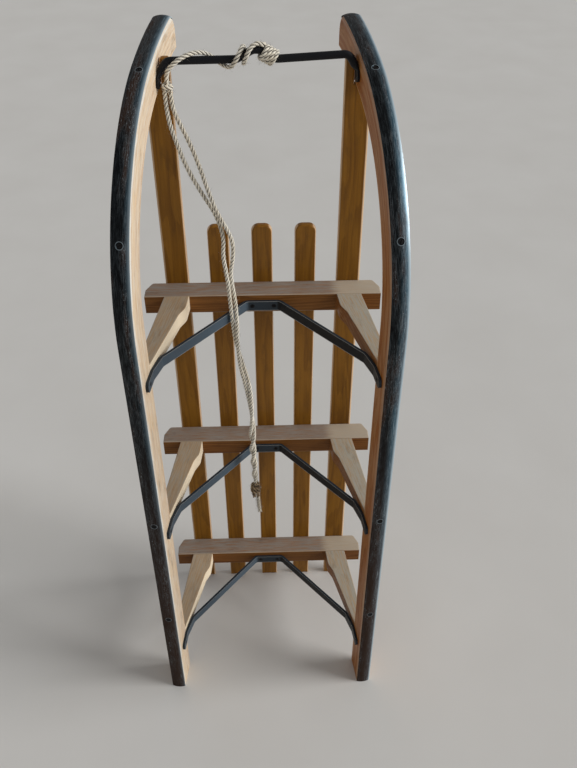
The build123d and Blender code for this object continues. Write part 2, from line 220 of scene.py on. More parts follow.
strand_right = [
    (-112.0, 50.5, 1000.0),
    (-112.0, 50.5, 984.0),
    (-105.0, 45.0, 966.0),
    (-92.0, 38.0, 940.0),
    (-80.5, 32.5, 908.0),
    (-70.5, 24.5, 876.0),
    (-59.5, 16.0, 846.0),
    (-42.0, 13.0, 814.0),
    (-39.0, 9.5, 790.0),
    (-46.0, 6.5, 757.0),
    (-40.5, -1.5, 722.0),
    (-38.5, -7.5, 690.0),
    (-39.0, -11.5, 650.0),
    (-38.0, -11.0, 608.0),
    (-30.5, -7.5, 565.0),
    (-25.0, -4.5, 522.0),
    (-20.0, -4.0, 478.0),
    (-18.8, -7.0, 462.0),
    (-20.4, -11.2, 448.0),
    (-24.8, -11.0, 435.0),
    (-25.6, -6.2, 422.0),
    (-22.2, -3.8, 409.0),
    (-18.0, -7.4, 396.0),
    (-19.4, -11.2, 384.0),
    (-23.4, -10.2, 372.0),
    (-23.0, -5.8, 360.0),
    (-19.6, -4.4, 350.0),
]
tail = [
    (-16.4, -7.5, 312.0),
    (-16.4, -7.5, 299.5),
    (-15.0, -8.3, 286.0),
    (-14.0, -8.0, 273.5),
]
print("route points", len(bar_run), len(strand_left), len(strand_right), len(tail))

# %% [markdown]
# The tow bar arches in its middle, so the rope can't slide along it. The turns on the
# arch's right slope are more points of the bar run's own spline: a helix round the
# slope, twelve points to a turn, that ends where the run leaves for the top of the arch.
# Its radius is a little more than the bar's and the rope's radii together, because a
# NURBS spline cuts inside its control points.

# %% Turns round the tow bar
arch_rise = 11.5
arch_slope_width = 21.0
turn_count = 4.1
points_per_turn = 12
turn_radius = 8.7
turns_first = 10.0        # along the slope, from the middle of the turns
turns_last = -9.0
turns_low, turns_high = corners("rope_turns")
turns_middle = (turns_low + turns_high) / 2
slope_length = math.hypot(arch_slope_width, arch_rise)
slope_along = np.array([arch_slope_width, 0.0, -arch_rise]) / slope_length
slope_up = np.array([-slope_along[2], 0.0, slope_along[0]])
slope_in = np.array([0.0, 1.0, 0.0])
leaving = np.array(bar_run[0]) - turns_middle
leaving_angle = math.atan2(leaving @ slope_up, leaving @ slope_in)
turn_points = int(turn_count * points_per_turn)
turn_share = np.arange(turn_points) / turn_points
turn_angle = leaving_angle - 2 * np.pi * turn_count * (1 - turn_share)
turn_reach = turns_first + (turns_last - turns_first) * turn_share
turns = (
    turns_middle
    + turn_reach[:, None] * slope_along
    + turn_radius * np.cos(turn_angle)[:, None] * slope_in
    + turn_radius * np.sin(turn_angle)[:, None] * slope_up
)
print("turns", len(turns), "points round", np.round(turns_middle, 1))

# %% [markdown]
# A spline's points are read from it with `new_from_object`, which gives the vertices of
# a curve that has no bevel. They are then spaced evenly, because the twist of the rope
# has to advance by length and not by control point.

# %% Line of a route
line_step = 1.2


def line_of(name, route):
    """Evenly spaced points, in metres, of the NURBS spline through a route in millimetres."""
    route = np.array(route) * mm
    curve = bpy.data.curves.new(name, "CURVE")
    curve.dimensions = "3D"
    spline = curve.splines.new("NURBS")
    spline.points.add(len(route) - 1)
    spline.points.foreach_set("co", np.column_stack([route, np.ones(len(route))]).ravel())
    spline.order_u = 3
    spline.use_endpoint_u = True
    spline.resolution_u = 16
    holder = bpy.data.objects.new(name, curve)
    drawn = bpy.data.meshes.new_from_object(holder)
    points = np.empty(len(drawn.vertices) * 3, np.float32)
    drawn.vertices.foreach_get("co", points)
    points = points.reshape(-1, 3).astype(float)
    bpy.data.objects.remove(holder)
    bpy.data.curves.remove(curve)
    bpy.data.meshes.remove(drawn)
    reach = np.concatenate([[0], np.cumsum(np.linalg.norm(np.diff(points, axis=0), axis=1))])
    even = np.linspace(0, reach[-1], int(reach[-1] / (line_step * mm)))
    line = np.stack([np.interp(even, reach, points[:, axis]) for axis in range(3)], axis=1)
    print(name, round(reach[-1], 4), "m,", len(line), "points")
    return line


def length_of(line):
    """Length of a line of points."""
    return float(np.linalg.norm(np.diff(line, axis=0), axis=1).sum())


rope_lines = {
    "rope_bar_run": line_of("rope_bar_run", [*turns, *bar_run]),
    "rope_strand_left": line_of("rope_strand_left", strand_left),
    "rope_strand_right": line_of("rope_strand_right", strand_right),
    "rope_tail": line_of("rope_tail", tail),
}

# %% [markdown]
# ## Laid rope
#
# The real rope is three strands twisted together, each soft enough to press against
# the other two. It could be one tube with a bump map, but its outline would stay
# smooth, so each strand is a tube of its own on a helix round the rope's line. A frame
# of directions is carried along the line first, turned as little as possible, because
# directions taken from the curve's bends alone would flip where the bend changes side.

# %% Directions along a line
askew = np.array([0.3, 0.5, 0.8])     # along none of the ropes' first tangents


def directions(line):
    """The tangent and two directions across it at each point of a line.

    Each side direction is the one before it, less its part along the new tangent."""
    tangent = unit(np.gradient(line, axis=0))
    side = np.cross(tangent[0], askew)
    sides = []
    for ahead in tangent:
        side = side - ahead * (side @ ahead)
        side = side / np.linalg.norm(side)
        sides.append(side)
    sides = np.array(sides)
    return tangent, sides, np.cross(tangent, sides)


# %% Strands of a rope
strand_count = 3
strand_radius = 1.5
strand_sides = 12
lay_length = 19.0
squeeze = 0.06            # share by which a strand is pressed out of round
squeeze_length = 5.3


def strands(line):
    """Grid of points of the strands of a rope that follows a line.

    A strand's middle goes round the line on a helix, one turn in each lay length. Round
    that middle, a point is the outward direction times a cosine plus the direction
    across it times a sine, times the strand's radius. The radius gains and loses a
    little, as a sine of the length times a sine of twice the turn."""
    _, side, top = directions(line)
    reach = np.arange(len(line)) * length_of(line) / (len(line) - 1)
    lead = np.arange(strand_count)[:, None] / strand_count
    phase = 2 * np.pi * (reach / (lay_length * mm) + lead)
    outward = np.cos(phase)[..., None] * side + np.sin(phase)[..., None] * top
    middle = line + (rope_diameter / 2 - strand_radius) * mm * outward
    ahead = unit(np.gradient(middle, axis=1))
    across = np.cross(ahead, outward)
    turn = 2 * np.pi * np.arange(strand_sides) / strand_sides
    wave = np.sin(reach / (squeeze_length * mm))[:, None]
    wobble = 1 + squeeze * wave * np.sin(turn * 2 + 1)
    ring = (
        np.cos(turn)[:, None] * outward[:, :, None]
        + np.sin(turn)[:, None] * across[:, :, None]
    )
    return middle[:, :, None] + strand_radius * mm * wobble[..., None] * ring


# %% [markdown]
# Twine of natural fibre is never clean: short ends of fibre stand off it everywhere and
# catch the light. Each is a thin tapered sliver, placed at random on the rope with a
# seeded generator, so the rope is the same on every run. The tail has come apart where
# it was cut, and the end knot has been dragged over stones, so they get several layers
# of slivers.

# %% Loose fibres
fibres_per_metre = 1500
fibre_rings = 5
fibre_sides = 3
fibre_radius = 0.11
fibre_taper = 0.7         # share of the radius that is gone at the tip
fibre_root = 0.4          # how deep in the rope a fibre starts
fibre_swing = 0.8         # how far a fibre may turn round the rope, against along it
fibre_gamma = (3.0, 1.5)  # shape and scale of the lengths
fibre_lengths = (1.5, 9.5)
fibre_lifts = (0.15, 0.75)


def fibres(line, seed):
    """Grid of points of thin slivers that stand off a rope.

    A sliver starts on the rope's surface, and its middle goes along the rope by its
    share of the length, and outwards by the square of that share, times a lift. Most are
    short and a few are long, because the length is drawn from a gamma distribution."""
    chance = np.random.default_rng(seed)
    count = int(length_of(line) * fibres_per_metre)
    start = chance.integers(2, len(line) - 2, count)
    tangent, side, top = (part[start] for part in directions(line))
    angle = chance.uniform(0, 2 * np.pi, count)[:, None]
    outward = np.cos(angle) * side + np.sin(angle) * top
    around = np.cross(tangent, outward)
    forwards = chance.choice([-1.0, 1.0], count)[:, None]
    swing = chance.uniform(-fibre_swing, fibre_swing, count)[:, None]
    along = unit(tangent * forwards + around * swing)
    long = chance.gamma(*fibre_gamma, count)[:, None, None].clip(*fibre_lengths) * mm
    lift = chance.uniform(*fibre_lifts, count)[:, None, None]
    share = np.linspace(0, 1, fibre_rings)[:, None]
    base = line[start] + outward * (rope_diameter / 2 - fibre_root) * mm
    sweep = along[:, None] * share + outward[:, None] * lift * share**2
    middle = base[:, None] + long * sweep
    stand_off = np.linalg.norm(middle - line[start][:, None], axis=-1).max()
    turn = 2 * np.pi * np.arange(fibre_sides) / fibre_sides
    radius = fibre_radius * mm * (1 - fibre_taper * share)[:, :, None]
    ring = (
        np.cos(turn)[:, None] * outward[:, None, None]
        + np.sin(turn)[:, None] * around[:, None, None]
    )
    print("fibres", count, "reach", round(stand_off / mm, 1), "mm from the line")
    return middle[:, :, None] + radius * ring


# %% Rope pieces
layer_seeds = 10          # from one layer's seed to the next layer's
fibre_layers = {"rope_tail": 8}   # the other lengths of rope have one
ropes = {}
for seed, (name, line) in enumerate(rope_lines.items()):
    ropes[name] = skin(name + "_laid", strands(line))
    layer_count = fibre_layers.get(name, 1)
    layers = [fibres(line, seed + layer_seeds * layer) for layer in range(layer_count)]
    ropes[name + "_fibres"] = skin(name + "_fibres", np.concatenate(layers))

# %% [markdown]
# ## The two knots
#
# The hitch and the end knot are short lengths of the same rope. A true knot could be
# simulated, but at this size what shows is rope that crosses over rope, so each knot is
# a wrap on a helix, whose radius breathes in and out, round a core that goes straight
# through. The helix is a spline's control points again, so a knot has the same lay. The
# other points are offsets from the middle and the two ends of the CAD knot.

# %% Wraps of a knot
wrap_squash = 0.8         # share of the radius that is left along Y
wrap_ends = 0.55          # share of the radius at the knot's top and bottom
wrap_swell = 0.45         # what the knot's middle adds to it


def wrap(middle, top, bottom, radius, rounds, start):
    """Route of a rope that winds down round a vertical core.

    The angle, from its start in degrees, and the height change evenly. The radius grows
    to the middle of the knot as half a sine wave, and shrinks along Y by the squash."""
    share = np.linspace(0, 1, int(points_per_turn * rounds))
    angle = np.radians(start) + 2 * np.pi * rounds * share
    reach = radius * (wrap_ends + wrap_swell * np.sin(np.pi * share))
    return np.stack([
        middle[0] + reach * np.cos(angle),
        middle[1] + wrap_squash * reach * np.sin(angle),
        top + (bottom - top) * share,
    ], axis=1)


def knot_place(name):
    """Middle, bottom and top of a CAD knot, in millimetres."""
    low, high = corners(name)
    print(name, "from", round(low[2], 1), "to", round(high[2], 1), "mm")
    return (low + high) / 2, low[2], high[2]


# %% Hitch at the left end of the tow bar
hitch_middle, hitch_low, hitch_high = knot_place("rope_hitch")
hitch_core = [
    bar_run[-1],
    (hitch_middle[0] + 0.5, hitch_middle[1], hitch_high - 4),
    (hitch_middle[0] + 3.2, hitch_middle[1] + 0.5, hitch_low + 4),
    strand_right[0],
]
hitch_wrap = [
    (hitch_middle[0] + 4.5, hitch_middle[1] + 2.0, hitch_high - 2),
    *wrap(hitch_middle, hitch_high - 2.5, hitch_low + 3.5, radius=5.6, rounds=1.6, start=20),
    strand_left[0],
]
hitch_lines = [line_of("hitch_core", hitch_core), line_of("hitch_wrap", hitch_wrap)]

# %% End knot
end_middle, end_low, end_high = knot_place("rope_end_knot")
end_core = [
    strand_right[-1],
    (end_middle[0] + 2.0, end_middle[1] + 2.0, end_high - 9),
    (end_middle[0] - 1.0, end_middle[1] + 2.0, end_middle[2]),
    (end_middle[0] + 2.5, end_middle[1] + 1.0, end_low + 9),
    tail[0],
]
end_wrap = [
    strand_left[-1],
    *wrap(end_middle, end_high - 4, end_low + 7, radius=7.2, rounds=2.9, start=-100),
    (end_middle[0] - 3.0, end_middle[1] - 2.0, end_low + 1),
]
end_lines = [line_of("end_core", end_core), line_of("end_wrap", end_wrap)]

# %% Knot pieces
knot_seed = 40


def knot_piece(name, lines, node, layer_count):
    """One mesh of a knot's lengths of rope, with that many layers of loose fibres."""
    laid = []
    for number, line in enumerate(lines):
        laid.append(skin(f"{name}_{number}", strands(line)))
    for number, line in enumerate(lines):
        for layer in range(layer_count):
            loose = fibres(line, knot_seed + layer_seeds * layer + number)
            laid.append(skin(f"{name}_fibres_{number}_{layer}", loose))
    with bpy.context.temp_override(active_object=laid[0], selected_editable_objects=laid):
        bpy.ops.object.join()
    laid[0].name = name
    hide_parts(node)
    return laid[0]


hitch = knot_piece("hitch_laid", hitch_lines, "rope_hitch", layer_count=1)
end_knot = knot_piece("end_knot_laid", end_lines, "rope_end_knot", layer_count=3)

# %% [markdown]
# ## The rope's ends
#
# The bar run leaves its turns on the tow bar and ends in the hitch, the two strands
# leave the hitch and end in the knot, and the tail ends bare. The table lists this, and
# the loop only hides the CAD tubes that the laid rope stands for.

rope_ends = {
    "rope_bar_run": (["rope_bar_run", "rope_turns"], "knot", "loose", [hitch]),
    "rope_strand_left": (["rope_strand_left"], "knot", "hanging", [end_knot]),
    "rope_strand_right": (["rope_strand_right"], "knot", "hanging", []),
    "rope_tail": (["rope_tail"], "bare", "hanging", []),
}
for name, (stands_for, far_end, lay, on_it) in rope_ends.items():
    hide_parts(*stands_for)
    ropes[name + "_fibres"]

# %% [markdown]
# ## The runners' own coordinates
#
# Screws, grain and wear all follow the runner: along its straight sole, round the bend
# and up the horn. The same three numbers serve them all: how far along the runner, how
# deep from the sole, and how far in from the outer face. They are worked out once for
# points with numpy and once for materials with nodes.

# %% Sizes of the runner
runner_lean = math.radians(7.0)
lean_cosine, lean_sine = math.cos(runner_lean), math.sin(runner_lean)
runner_width = 23.0
runner_depth = 48.0       # with the shoe
shoe_height = 3.6
sole_length = 763.0
bend_radius = 291.0
bend_angle = math.radians(74.4)
horn_radius = 629.0
sole_edge = (180.0, -181.387)     # X and Y of the outer edge of the sole
horn_centre = (
    bend_radius * (1 - math.cos(bend_angle)) + horn_radius * math.cos(bend_angle),
    sole_length + (bend_radius - horn_radius) * math.sin(bend_angle),
)
print("horn's centre", np.round(horn_centre, 1))


def on_runner(side, turn, station, across, depth):
    """Point on a runner, in millimetres, and the direction that the sole faces there.

    The station counts along the straight sole, and the turn, in radians, round the bend
    after it. The depth goes in from the sole, and across goes in from the outer face."""
    height = bend_radius - (bend_radius - depth) * math.cos(turn)
    point = np.array([
        side * (sole_edge[0] - across * lean_cosine - height * lean_sine),
        sole_edge[1] - across * lean_sine + height * lean_cosine,
        station + (bend_radius - depth) * math.sin(turn),
    ])
    away = np.array([
        side * lean_sine * math.cos(turn),
        -lean_cosine * math.cos(turn),
        math.sin(turn),
    ])
    return point, away


# %% [markdown]
# ## Screws
#
# Slotted countersunk screws hold the shoes, the braces, the ears of the tow bar and the
# slats. A cylinder with a cut would need a boolean, so a head is a height over a disc:
# a square grid is bent into a disc, the height is a shallow dome, and it drops to the
# slot's floor where the grid lies within the slot's width.

# %% Screw heads
slot_share = 0.16         # of the head's radius, on either side of the slot's middle
slot_wall = 0.01          # of the radius, from the slot's rim to its floor
head_wall = 1.6           # down from the head's rim
slot_askew = np.array([0.31, 0.87, 0.39])     # along none of the screws
head_steps = np.array([-1, -0.8, -0.55, -0.3, -slot_share, -slot_share + slot_wall, 0])
head_steps = np.concatenate([head_steps, -head_steps[-2::-1]])


def screw_heads(name, places, radius, dome, slot_depth, sink=0.0):
    """One mesh of screw heads. A place is a point, the direction it faces and its turn.

    A grid point (s, t) lands on the disc at s times the root of 1 - t²/2 and t times
    the root of 1 - s²/2. The dome falls with the square of the distance from the middle,
    and the side wall goes down from the rim."""
    points, facing, turned = (np.array(part, float) for part in zip(*places))
    s, t = np.meshgrid(head_steps, head_steps, indexing="ij")
    x = s * np.sqrt(1 - t**2 / 2)
    y = t * np.sqrt(1 - s**2 / 2)
    height = dome * (1 - x**2 - y**2)
    height = np.where(np.abs(s) < slot_share, np.minimum(height, dome - slot_depth), height)
    head = np.stack([x * radius, y * radius, height], axis=-1)
    facing = unit(facing)
    first = unit(np.cross(facing, slot_askew))
    second = np.cross(facing, first)
    cosine, sine = np.cos(turned)[:, None], np.sin(turned)[:, None]
    first, second = cosine * first + sine * second, cosine * second - sine * first
    grids = (
        points[:, None, None]
        + head[None, ..., :1] * first[:, None, None]
        + head[None, ..., 1:2] * second[:, None, None]
        + (head[None, ..., 2:] - sink) * facing[:, None, None]
    ) * mm
    count, rows, columns = grids.shape[:3]
    index = np.arange(count * rows * columns).reshape(count, rows, columns)
    quads = np.stack(
        [index[:, :-1, :-1], index[:, 1:, :-1], index[:, 1:, 1:], index[:, :-1, 1:]], axis=-1
    )
    rim = np.concatenate(
        [index[:, 0, :-1], index[:, :-1, -1], index[:, -1, :0:-1], index[:, :0:-1, 0]], axis=1
    )
    base = grids.reshape(-1, 3)[rim] - head_wall * mm * facing[:, None]
    base_index = index.size + np.arange(rim.size).reshape(rim.shape)
    wall = np.stack([
        rim, base_index, np.roll(base_index, -1, axis=1), np.roll(rim, -1, axis=1)
    ], axis=-1)
    mesh = bpy.data.meshes.new(name)
    vertices = np.concatenate([grids.reshape(-1, 3), base.reshape(-1, 3)])
    sides = [*quads.reshape(-1, 4).tolist(), *wall.reshape(-1, 4).tolist()]
    mesh.from_pydata(vertices, [], [*sides, *base_index.tolist()])
    return rigid_piece(name, mesh)


# %% Screws of the shoes
chance = np.random.default_rng(7)
most_turned = 3.0         # radians, from one screw's slot to another's
shoe_screw_table = [  # station where the turn starts, turn in degrees
    (205.0, 0.0),
    (438.0, 0.0),
    (sole_length, 26.7),
    (sole_length, 72.1),
]
shoe_places = []
for side in (-1, 1):
    for station, turn in shoe_screw_table:
        point, away = on_runner(side, math.radians(turn), station, runner_width / 2, 0.0)
        shoe_places.append((point, away, chance.uniform(0, most_turned)))
shoe_screws = screw_heads(
    "shoe_screws", shoe_places, radius=3.6, dome=0.35, slot_depth=0.9, sink=0.9
)

# %% Screws of the slats
slat_places = []
for bar in (1, 2, 3):
    bar_low, bar_high = corners(f"crossbar_{bar}")
    for slat in ("left_outer", "left_inner", "middle", "right_inner", "right_outer"):
        low, high = corners("slat_" + slat)
        point = ((low[0] + high[0]) / 2, high[1], (bar_low[2] + bar_high[2]) / 2)
        slat_places.append((point, (0, 1, 0), chance.uniform(0, most_turned)))
slat_screws = screw_heads(
    "slat_screws", slat_places, radius=3.8, dome=0.5, slot_depth=0.8
)

# %% Screws of the braces and of the tow bar's ears
seat_gap = 0.2
brace_thickness = 4.0
ear_thickness = 3.0
flat_screw_reach = 16.0   # from the middle of a brace
tab_screw_height = 30.0   # above the sole
tow_bar_station = 1039.0
tow_bar_tilt = 3.2
tow_reach = 248.5         # from the runner's sole to the bar's line
ear_screw_drop = 27.5     # from the bar's line, down the ear
ear_slope = math.radians(24.0)
iron_places = []


def screw_inner_face(side, station, thickness, height):
    """Adds a screw through iron of that thickness to the inner face of a runner."""
    point, _ = on_runner(side, 0.0, station, runner_width + seat_gap + thickness, height)
    inward = (-side * lean_cosine, -lean_sine, 0)
    iron_places.append((point, inward, chance.uniform(0, most_turned)))


for brace in (1, 2, 3):
    low, high = corners(f"brace_{brace}")
    middle_z = (low[2] + high[2]) / 2
    for side in (-1, 1):
        screw_inner_face(side, middle_z, brace_thickness, tab_screw_height)
        flat_point = (side * flat_screw_reach, high[1] - brace_thickness, middle_z)
        iron_places.append((flat_point, (0, -1, 0), chance.uniform(0, most_turned)))
for side in (-1, 1):
    height = tow_reach - ear_screw_drop * math.sin(ear_slope)
    station = tow_bar_station + side * tow_bar_tilt - ear_screw_drop * math.cos(ear_slope)
    screw_inner_face(side, station, ear_thickness, height)
iron_screws = screw_heads(
    "iron_screws", iron_places, radius=3.6, dome=0.8, slot_depth=0.7, sink=0.1
)

# %% [markdown]
# ## Materials as expressions
#
# A node tree is arithmetic drawn as boxes. One small class wraps a node's output and
# overloads the operators, so that `1 - mask` adds its own Math node, and a material
# reads like the formula that it is. Every other node comes from one method, which sets
# the node's settings before it fills its sockets, because some sockets only exist
# after a setting.

# %% A value
class Value:
    """One output of a node. Arithmetic on it adds Math nodes to the same material."""

    def __init__(self, look, socket):
        self.look = look
        self.socket = socket

    def math(self, operation, *others):
        """The Math node of that operation on this value and the others."""
        numbers = dict(enumerate((self, *others)))
        return self.look.node("ShaderNodeMath", {"operation": operation}, numbers)

    def also(self, name):
        """Another output of the same node."""
        return Value(self.look, self.socket.node.outputs[name])

    def smooth(self, low, high):
        """0 below low and 1 above high, with a smooth step between them."""
        settings = {"interpolation_type": "SMOOTHSTEP"}
        inputs = {"Value": self, "From Min": low, "From Max": high}
        return self.look.node("ShaderNodeMapRange", settings, inputs)

    def __add__(self, other):
        return self.math("ADD", other)

    def __radd__(self, other):
        return self.math("ADD", other)

    def __sub__(self, other):
        return self.math("SUBTRACT", other)

    def __rsub__(self, other):
        return (self * -1).math("ADD", other)

    def __mul__(self, other):
        return self.math("MULTIPLY", other)

    def __rmul__(self, other):
        return self.math("MULTIPLY", other)

    def __truediv__(self, other):
        return self.math("DIVIDE", other)

    def __pow__(self, other):
        return self.math("POWER", other)

    def __gt__(self, other):
        return self.math("GREATER_THAN", other)

    def __abs__(self):
        return self.math("ABSOLUTE")


# %% A look
class Look:
    """A material under construction."""

    def __init__(self, name):
        self.material = bpy.data.materials.new(name)
        self.material.use_nodes = True
        self.tree = self.material.node_tree
        self.tree.nodes.clear()

    def node(self, kind, settings=None, inputs=None, output=None):
        """Adds a node with its settings and sockets, and gives its first or named output."""
        made = self.tree.nodes.new(kind)
        for key, value in (settings or {}).items():
            setattr(made, key, value)
        for key, value in (inputs or {}).items():
            named = [socket for socket in made.inputs if socket.enabled and socket.name == key]
            socket = made.inputs[key] if isinstance(key, int) else named[0]
            if isinstance(value, Value):
                self.tree.links.new(value.socket, socket)
            else:
                socket.default_value = value
        shown = [socket for socket in made.outputs if socket.enabled]
        if not shown:
            return made
        return Value(self, shown[0] if output is None else made.outputs[output])

    def place(self):
        """X, Y and Z on the object, in millimetres."""
        coordinates = self.node("ShaderNodeTexCoord", output="Object")
        x = self.node("ShaderNodeSeparateXYZ", inputs={"Vector": coordinates})
        return x / mm, x.also("Y") / mm, x.also("Z") / mm

    def facing(self, axis):
        """How much the surface faces along X, Y or Z, from -1 to 1."""
        coordinates = self.node("ShaderNodeTexCoord", output="Normal")
        return self.node("ShaderNodeSeparateXYZ", inputs={"Vector": coordinates}, output=axis)

    def vector(self, x, y, z):
        """Three values as one vector."""
        return self.node("ShaderNodeCombineXYZ", inputs={"X": x, "Y": y, "Z": z})

    def noise(self, x, y, z, detail, roughness=0.5):
        """Soft noise from 0 to 1, one lump to each unit of the three values."""
        inputs = {"Vector": self.vector(x, y, z), "Scale": 1.0}
        inputs |= {"Detail": detail, "Roughness": roughness}
        return self.node("ShaderNodeTexNoise", inputs=inputs)

    def cells(self, x, y, z):
        """Distance to the nearest of the points strewn one to each unit."""
        inputs = {"Vector": self.vector(x, y, z), "Scale": 1.0}
        return self.node("ShaderNodeTexVoronoi", inputs=inputs)

    def mix(self, share, first, second):
        """The first colour turned into the second by a share."""
        inputs = {"Factor": share, "A": first, "B": second}
        return self.node("ShaderNodeMix", {"data_type": "RGBA"}, inputs)

    def bump(self, height, distance, strength):
        """Normal of a surface raised by a height, from 0 to 1, of so many millimetres."""
        inputs = {"Height": height, "Distance": distance * mm, "Strength": strength}
        return self.node("ShaderNodeBump", inputs=inputs)

    def finish(self, **sockets):
        """Closes the material with a Principled shader."""
        named = {key.replace("_", " "): value for key, value in sockets.items()}
        shader = self.node("ShaderNodeBsdfPrincipled", inputs=named)
        self.node("ShaderNodeOutputMaterial", inputs={"Surface": shader})
        print("material", self.material.name, len(self.tree.nodes), "nodes")
        return self.material


def paint(red, green, blue):
    """A screen colour from 0 to 255 as the linear colour that a shader takes."""
    share = np.array([red, green, blue]) / 255
    linear = np.where(share <= 0.04045, share / 12.92, ((share + 0.055) / 1.055) ** 2.4)
    return (*linear.tolist(), 1.0)


# %% [markdown]
# ## Wood
#
# The sled is of ash, a ring-porous wood: each year's growth starts with a band of open
# pores and ends dense and darker. A board's figure is where its faces cut those rings,
# so the material is a solid one: rings round a pith that lies outside the board, bent
# by slow noise, with fibres and pores drawn out along the grain.
#
# This sled is old: wood that was scraped has gone grey, dirt sits in patches, and edges
# are rubbed pale. Light and shade are painted in as well: some faces are painted paler as
# if lit, and others darker as painted shade. The same formula serves every piece, and a
# small tuple called Grain brings what differs: the coordinates in which the piece's own
# grain runs straight, how near an edge it is, how bare it is and how much painted shade
# it gets there. On some pieces the edge and bare shares carry painted light too.

# %% The wood's formula
middle_tone = 0.73        # what the tone's parts add up to in wood of a middling colour
Grain = namedtuple("Grain", "across depth along seed edge bare shade", defaults=(0.0, 0.0))


def wood(name, place, pale, deep, ring_width, pith, varnish, wear_and_highlight_tint, bare_and_lit_tint=None):
    """A material of wood. The place gives a Grain: where a point is in the board, a seed
    for the board, how near an edge is, how bare the wood has become, and a painted shade.
    On some pieces the edge and bare shares also carry painted light.

    The ring is the fraction of the distance to the pith over the ring's width. The tone
    is a weighted sum of ring, fibre, streak, pore, drift and painted shade, less the middle
    tone, and mixes the two colours. Bare wood, grime and worn edges, with the painted light
    that they carry, are then mixed over them."""
    look = Look(name)
    across, depth, along, seed, edge, bare, painted_shade = place(look)
    drift = look.noise(across * 0.02 + seed, depth * 0.02, along * 0.004 + seed, 3.0)
    sway = look.noise(across * 0.03, depth * 0.03 + seed, along * 0.0035 + seed, 2.0)
    from_pith = ((across - pith[0]) ** 2 + (depth - pith[1]) ** 2) ** 0.5
    rings = from_pith / ring_width + sway * 7 + seed
    ring = rings.math("FRACT")
    late = ring.smooth(0.25, 0.85) * (1 - ring.smooth(0.93, 1.0))
    fibre = look.noise(across * 1.3 + seed, depth * 1.3, along * 0.022, 5.0, 0.65)
    streak = look.noise(across * 0.28 + seed, depth * 0.28, along * 0.006, 2.0, 0.6)
    pore = 1 - look.cells(across * 1.9 + seed, depth * 1.9, along * 0.09).smooth(0.08, 0.3)
    pore = pore * (1 - late)
    tone = late * 0.24 + fibre * 0.8 + streak * 0.6 + pore * 0.2 + drift * 0.5
    # The painted shade pushes the tone towards the deep colour.
    colour = look.mix(tone - middle_tone + painted_shade, pale, deep)
    if bare_and_lit_tint:
        scuff = look.noise(across * 0.6, depth * 0.6 + seed, along * 0.03, 4.0, 0.75)
        colour = look.mix(bare * (0.25 + scuff.smooth(0.3, 0.7)), colour, bare_and_lit_tint)
    grime = look.noise(across * 0.07 + seed, depth * 0.07, along * 0.02, 4.0, 0.7)
    grime = grime.smooth(0.5, 0.8)
    colour = look.mix(grime * 0.4, colour, paint(62, 42, 26))
    # Worn edges take the pale tint, and so do the painted highlights of some pieces.
    wear_and_highlight = (edge * (0.35 + fibre)).smooth(0.4, 0.9)
    colour = look.mix(wear_and_highlight * 0.7, colour, wear_and_highlight_tint)
    height = fibre * 0.5 + late * 0.3 - pore * 0.5
    return look.finish(
        Base_Color=colour,
        Roughness=0.38 + fibre * 0.16 + grime * 0.15 + bare * 0.1,
        Normal=look.bump(height, 0.12, 0.6),
        Specular_IOR_Level=0.12,
        Coat_Weight=(1 - wear_and_highlight * 0.6) * varnish,
        Coat_Roughness=0.25,
    )


def near_edge(value, low, high, width):
    """1 at either limit of a value, and 0 a width inside them."""
    inside = (value - low).math("MINIMUM", high - value)
    return 1 - (inside / width).smooth(0.0, 1.0)


# %% [markdown]
# The runners are steamed and bent from one straight board, so their grain follows the
# bend. The runner's own coordinates unroll it: up to the bend they are straight, and
# past it the depth is the radius less the distance to the bend's centre, and the length
# is the radius times the angle turned.
#
# The left runner's inner face is painted pale as painted light, and both outer faces
# half as much; the right runner's inner face gets painted shade. Along the shoes the wood
# is scraped bare.

# %% Coordinates along a runner
def unrolled(height, station, centre, radius, start_turn, start_length):
    """Depth, length and turn of a point on a bend, from its height and station."""
    rise = centre[0] - height
    ahead = station - centre[1]
    depth = radius - (rise**2 + ahead**2) ** 0.5
    turn = ahead.math("ARCTAN2", rise)
    return depth, (turn - start_turn) * radius + start_length, turn


def along_runner(look):
    """Across, depth and length on either runner, and 1 on the right one."""
    x, y, z = look.place()
    outwards = abs(x) - sole_edge[0]
    upwards = y - sole_edge[1]
    height = upwards * lean_cosine - outwards * lean_sine
    across = -1 * (outwards * lean_cosine + upwards * lean_sine)
    bend_centre = (bend_radius, sole_length)
    horn_start = sole_length + bend_radius * bend_angle
    bend_depth, bend_length, turn = unrolled(
        height, z, bend_centre, bend_radius, 0.0, sole_length
    )
    horn_depth, horn_length, _ = unrolled(
        height, z, horn_centre, horn_radius, bend_angle, horn_start
    )
    on_bend = z > sole_length
    on_horn = (turn > bend_angle) * on_bend
    depth = height + on_bend * (bend_depth - height) + on_horn * (horn_depth - bend_depth)
    along = z + on_bend * (bend_length - z) + on_horn * (horn_length - bend_length)
    return across, depth, along, x > 0


def runner_place(look):
    """The place on a runner, for the wood's formula."""
    across, depth, along, right = along_runner(look)
    edge = near_edge(across, 0.0, runner_width, width=3.5)
    edge = edge * near_edge(depth, shoe_height, runner_depth, width=3.5)
    inner = across.smooth(runner_width * 0.4, runner_width * 0.9)
    # Painted light: full on the left runner's inner face, half on both outer faces, none on
    # the right runner's inner face.
    painted_light = inner * (1 - right) + (1 - inner) * 0.5
    # The scraping along the shoes is stronger where there is painted light, and the bare share
    # also carries half the painted light.
    scraped = (1 - depth.smooth(6.0, 15.0)) * (painted_light * 0.8 + 0.2)
    bare = scraped.math("MAXIMUM", painted_light * 0.5)
    # The last number is painted shade, darkest where there is no painted light.
    return Grain(across, depth, along, right * 9.3, edge, bare, 0.6 - painted_light * 0.72)


